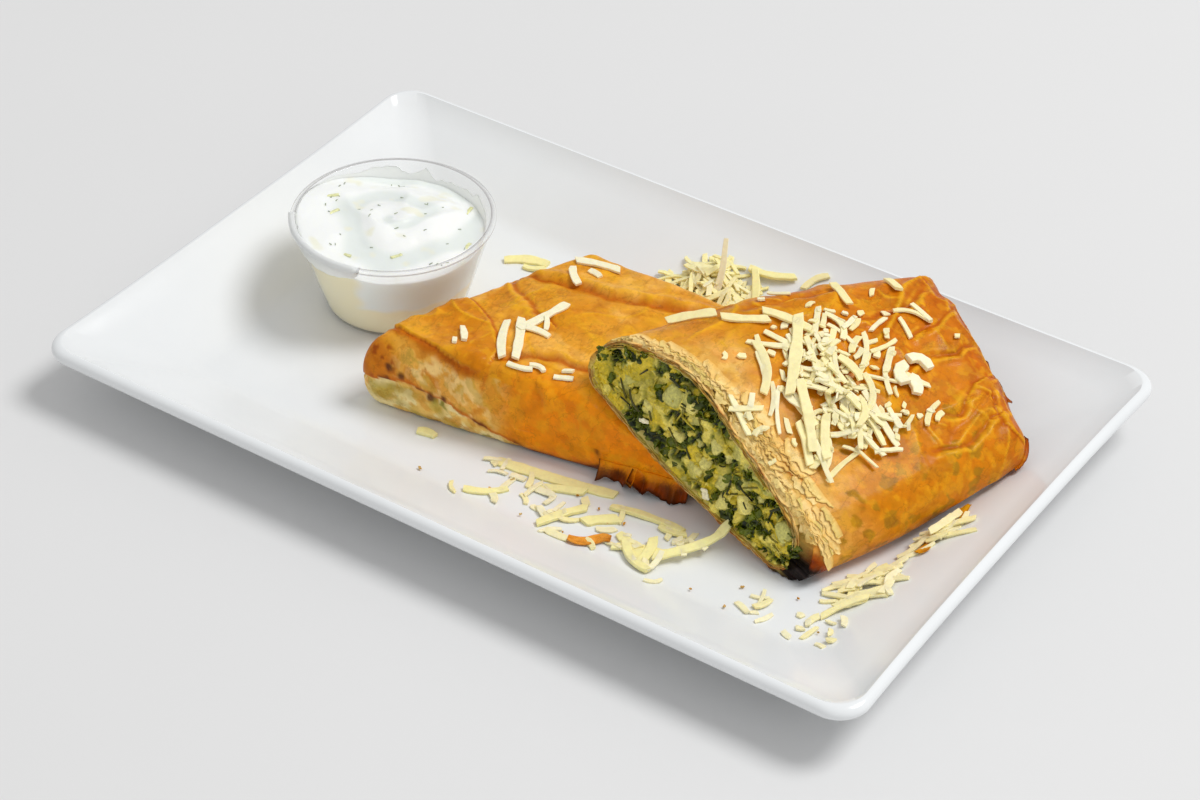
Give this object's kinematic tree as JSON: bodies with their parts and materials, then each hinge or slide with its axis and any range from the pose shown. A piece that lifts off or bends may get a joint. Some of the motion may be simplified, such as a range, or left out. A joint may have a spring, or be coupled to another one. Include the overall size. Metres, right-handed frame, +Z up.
{
  "type": "spanakopita pie on a plate",
  "caption": "Filo spinach and cheese pie cut into halves, one leaning on the other, on a rectangular rimmed plate with grated cheese and a clear cup of yoghurt dip.",
  "frame": {"origin": "on the surface that the plate stands on, under the middle of the plate", "axes": "+X along the plate's long side, away from the cup; +Y to the back, away from the pie's cut face; +Z up"},
  "size_m": [0.33, 0.21, 0.0628],
  "materials": {
    "plate_glaze": "smooth gloss white glaze",
    "clear_cup": "thin clear plastic",
    "yoghurt_dip": "thick spooned yoghurt with herb specks",
    "baked_filo": "golden baked filo, satin with butter, browner at folds",
    "spinach_filling": "chopped spinach in pale curd, moist",
    "grated_cheese": "pale yellow grated shreds, slightly waxy"
  },
  "bodies": {
    "root": {"plate": "plate_glaze", "dip_cup": "clear_cup", "dip": "yoghurt_dip", "rear_crust": "baked_filo", "rear_filling": "spinach_filling", "front_crust": "baked_filo", "front_filling": "spinach_filling", "cheese_on_front": "grated_cheese", "cheese_behind": "grated_cheese", "cheese_beside": "grated_cheese"}
  },
  "joints": []
}
